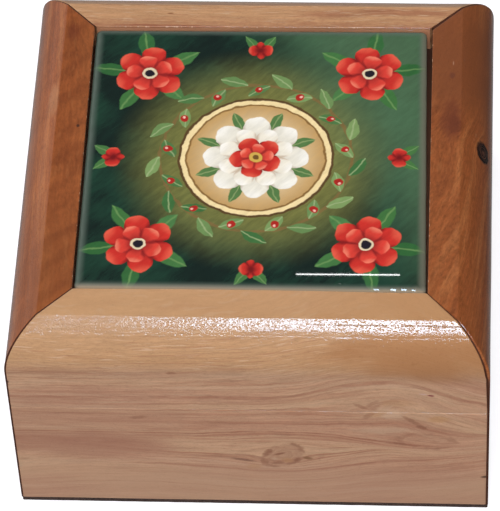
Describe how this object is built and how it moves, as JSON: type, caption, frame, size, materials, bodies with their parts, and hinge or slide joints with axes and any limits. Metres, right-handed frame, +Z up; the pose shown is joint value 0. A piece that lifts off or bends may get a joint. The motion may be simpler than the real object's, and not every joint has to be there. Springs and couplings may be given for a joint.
{
  "type": "rosary box",
  "caption": "Small square hinged box of mitred wood with a rounded lid edge and a glazed picture tile let into the lid.",
  "frame": {"origin": "centre of the underside of the felt that the box stands on, midway between the outer faces of its four walls", "axes": "+Z up out of the lid, +X to the right of someone facing the front, +Y to the back, where the hinges are"},
  "size_m": [0.066, 0.0689, 0.0372],
  "materials": {
    "wood_pale": "clear gloss lacquer over straight-grained olive wood, pale tan with reddish lines",
    "wood_dark": "clear gloss lacquer over darker, mottled olive wood",
    "wood_panel": "plain sanded wood panel",
    "tile_glaze": null,
    "brass": "brushed, slightly tarnished",
    "magnet": "nickel plated",
    "felt_lining": "matted wool felt",
    "felt_foot": "matted wool felt"
  },
  "bodies": {
    "base": {"base_front_wall": "wood_pale", "base_back_wall": "wood_pale", "base_left_wall": "wood_dark", "base_right_wall": "wood_dark", "base_floor": "wood_panel", "floor_lining": "felt_lining", "foot_felt": "felt_foot", "left_hinge_base_leaf": "brass", "left_hinge_pin": "brass", "right_hinge_base_leaf": "brass", "right_hinge_pin": "brass", "base_hinge_screws": "brass", "base_magnet": "magnet"},
    "lid": {"lid_front_rail": "wood_pale", "lid_back_rail": "wood_pale", "lid_left_rail": "wood_dark", "lid_right_rail": "wood_dark", "lid_panel": "wood_panel", "picture_tile": "tile_glaze", "left_hinge_lid_leaf": "brass", "right_hinge_lid_leaf": "brass", "lid_hinge_screws": "brass", "lid_magnet": "magnet"}
  },
  "joints": [
    {"name": "lid_hinge", "type": "hinge", "parent": "base", "child": "lid", "pos_m": [0, 0.0346, 0.0222], "axis": [-1, 0, 0], "range_deg": [0, 180]}
  ]
}
